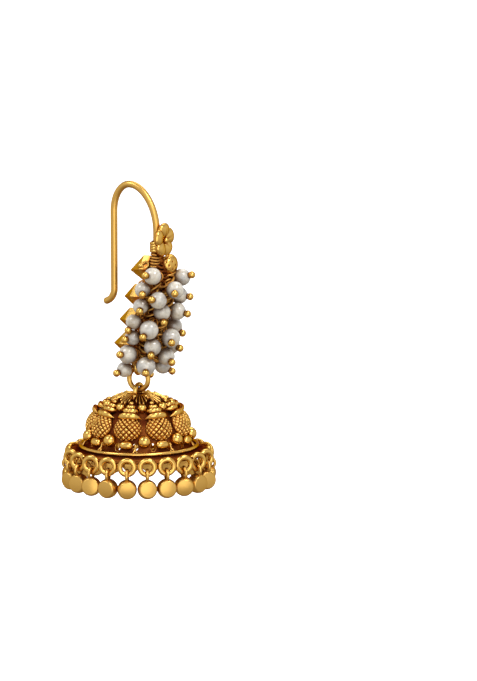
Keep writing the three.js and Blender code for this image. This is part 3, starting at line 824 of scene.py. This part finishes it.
def bell_wires():
    """The bright wire on the rim, the skirt's edge, the rim rings and the bail."""
    form = Form()
    for row in (RIM_WIRE, EDGE_WIRE):
        path = circle((BELL["x"], 0, row["z"]), Z_AXIS, row["r"], 220)
        tube(form, path, row["wire"], 14, closed=True, recess=row["recess"])
    for number in range(RIM_RING["count"]):
        turn = ring_turn(number)
        middle = at_bell(turn, RIM_RING["r"], RIM_RING["z"])
        facing = around(turn + swivel(number), 1, 0)
        tube(form, circle(middle, facing, RIM_RING["radius"], 44), RIM_RING["wire"], 16, closed=True)
    bail = circle((BELL["x"], 0, BAIL["z"]), X_AXIS, BAIL["radius"], 48)
    tube(form, bail, BAIL["wire"], 16, closed=True)
    for number in range(BELL["units"]):
        turn = unit_turn(number, 0.5) - GAP["beside"]
        fork, top = at_bell(turn, 8.35, STRUT["fork"]), at_bell(turn, 8.1, STRUT["top"])
        tube(form, [fork, (fork + top) / 2, top], STRUT["wire"], 10, recess=0.2)
        for side in (-1, 1):
            foot = at_bell(turn + side * STRUT["spread"], 8.85, RIM_WIRE["z"])
            tube(form, [foot, (foot + fork) / 2, fork], STRUT["wire"], 10, recess=0.3)
    piece(form, "bell_wires", "bell", "bell", polished)


def ring_turn(number):
    return VIEW + 360 / RIM_RING["count"] * (number + 0.5)


def swivel(number):
    """How far a rim ring and its drop are turned, about halfway to the bell's front or back."""
    off = 360 / RIM_RING["count"] * (number + 0.5)
    side = off - 180 * round(off / 180)
    return -DROP["face"] * side if abs(side) < 89 else 0.0


def drop_profile():
    """The section of a drop: a nearly flat face, a full round edge, and the same behind."""
    flat, thick, disc = DROP["flat"], DROP["thick"], DROP["size"]
    face = [(r, thick - DROP["crown"] * (r / flat) ** 2) for r in np.linspace(0, flat, 6)]
    edge = face[-1][1]
    bend = np.linspace(0, np.pi, 23)[1:-1]
    rim = [(flat + (disc - flat) * math.sin(a) ** 0.8, edge * math.cos(a)) for a in bend]
    return face + rim + [(r, -h) for r, h in face[::-1]]


def drops():
    """Each drop: a thick polished disc, turned a little, on a wire loop with a pinched foot."""
    for number in range(RIM_RING["count"]):
        name = f"drop_{number + 1:02d}"
        low, high = (np.array(corner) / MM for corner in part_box(name))
        turn = ring_turn(number)
        out = around(turn + swivel(number), 1, 0)
        foot = at_bell(turn, RIM_RING["r"], low[2] + DROP["disc"] - DROP["low"])
        form = Form()
        sway = DROP["sway"] * math.sin(2.4 * number + 0.6)
        face = around(turn + swivel(number) + sway, 1, DROP["nod"] * math.sin(1.7 * number + 1.0))
        turned(form, drop_profile(), foot, face, 48)
        hang = at_bell(turn, RIM_RING["r"], high[2] - DROP["wire"] - DROP["loop"])
        a = np.linspace(0, 2 * np.pi, 52, endpoint=False)[:, None]
        pinch = 1 - 0.32 * np.clip(-np.sin(a), 0, 1) ** 1.5
        path = hang + DROP["loop"] * (np.cos(a) * pinch * out + np.sin(a) * Z_AXIS)
        tube(form, path, DROP["wire"], 14, closed=True)
        neck = hang - (DROP["loop"] - 0.02) * Z_AXIS
        tube(form, circle(neck - 0.2 * Z_AXIS, Z_AXIS, 0.3, 24), 0.17, 10, closed=True, recess=0.35)
        piece(form, name + "_disc", name, "bell", satin)


def camera():
    a, e = math.radians(CAMERA["azimuth"]), math.radians(CAMERA["elevation"])
    right = np.array([math.cos(a), math.sin(a), 0])
    back = np.array([math.sin(a) * math.cos(e), -math.cos(a) * math.cos(e), math.sin(e)])
    up = np.cross(back, right)
    across_mm = (PHOTO["wide"] / 2 - PHOTO["origin"][0]) / PHOTO["scale"]
    up_mm = (PHOTO["origin"][1] - PHOTO["tall"] / 2) / PHOTO["scale"]
    distance = CAMERA["lens"] / CAMERA["sensor"] * PHOTO["tall"] / PHOTO["scale"]
    lens = bpy.data.cameras.new("camera")
    lens.lens, lens.sensor_width = CAMERA["lens"], CAMERA["sensor"]
    lens.clip_start, lens.clip_end = 0.01, 20
    made = bpy.data.objects.new("camera", lens)
    made.location = (right * across_mm + up * up_mm + back * distance) * MM
    made.rotation_mode = "QUATERNION"
    made.rotation_quaternion = Vector(-back).to_track_quat("-Z", "Y")
    bpy.context.scene.collection.objects.link(made)
    bpy.context.scene.camera = made


# Softboxes: where each stands about the earring, its distance, size and brightness.
LIGHTS = [
    dict(name="front", azimuth=38, elevation=6, away=700, size=640, power=1.6),
    dict(name="left", azimuth=-35, elevation=50, away=600, size=260, power=1.0),
    dict(name="right_high", azimuth=70, elevation=48, away=550, size=200, power=1.1),
    dict(name="top", azimuth=190, elevation=60, away=600, size=420, power=1.1),
]
AIM = np.array([2.0, 0.0, -26.0])
# The light of the room by height, from below to above.
SKY = [
    (0.12, (0.36, 0.3, 0.23)),
    (0.36, (0.66, 0.62, 0.55)),
    (0.55, (0.84, 0.84, 0.83)),
    (0.9, (0.5, 0.5, 0.52)),
]


def studio():
    for row in LIGHTS:
        a, e = math.radians(row["azimuth"]), math.radians(row["elevation"])
        way = np.array([math.sin(a) * math.cos(e), -math.cos(a) * math.cos(e), math.sin(e)])
        light = bpy.data.lights.new(row["name"], "AREA")
        light.shape, light.size, light.energy = "SQUARE", row["size"] * MM, row["power"]
        made = bpy.data.objects.new(row["name"], light)
        made.location = (AIM + way * row["away"]) * MM
        made.rotation_mode = "QUATERNION"
        made.rotation_quaternion = Vector(-way).to_track_quat("-Z", "Y")
        bpy.context.scene.collection.objects.link(made)
    world = bpy.data.worlds.new("studio")
    bpy.context.scene.world = world
    world.use_nodes = True
    tree = world.node_tree
    way = add(tree, "ShaderNodeTexCoord", {}).outputs["Generated"]
    height = add(tree, "ShaderNodeSeparateXYZ", {"Vector": way}).outputs["Z"]
    level = add(tree, "ShaderNodeMapRange", {"Value": height, "From Min": -1.0}).outputs[0]
    colour = ramp(tree, level, SKY)
    tree.links.new(colour, tree.nodes["Background"].inputs["Color"])
    tree.nodes["Background"].inputs["Strength"].default_value = 1.0
    mesh = bpy.data.meshes.new("floor")
    reach = FLOOR["radius"] * MM
    corners = [(x * reach, y * reach, FLOOR["z"] * MM) for x, y in ((-1, -1), (1, -1), (1, 1), (-1, 1))]
    mesh.from_pydata(corners, [], [(0, 1, 2, 3)])
    floor = bpy.data.objects.new("floor", mesh)
    material, tree, shader = node_tree("pale_floor")
    place = add(tree, "ShaderNodeTexCoord", {}).outputs["Object"]
    tone = ramp(tree, cloud(tree, place, 6.0), [(0.0, (0.93, 0.93, 0.93)), (1.0, (0.96, 0.96, 0.96))])
    tree.links.new(tone, shader.inputs["Base Color"])
    shader.inputs["Roughness"].default_value = 0.9
    shader.inputs["Specular IOR Level"].default_value = 0.0
    shader.inputs["Emission Color"].default_value = (1.0, 1.0, 1.0, 1.0)
    shader.inputs["Emission Strength"].default_value = 0.8
    floor.visible_glossy = False
    floor.visible_diffuse = False
    mesh.materials.append(material)
    bpy.context.scene.collection.objects.link(floor)
    bpy.context.scene.view_settings.view_transform = "Standard"


ear_hook()
collar()
flower()
spine()
settings()
stud()
pearls()
link_ring()
bell_shell()
pineapples()
blades()
cap()
bell_balls()
bell_wires()
drops()
camera()
studio()
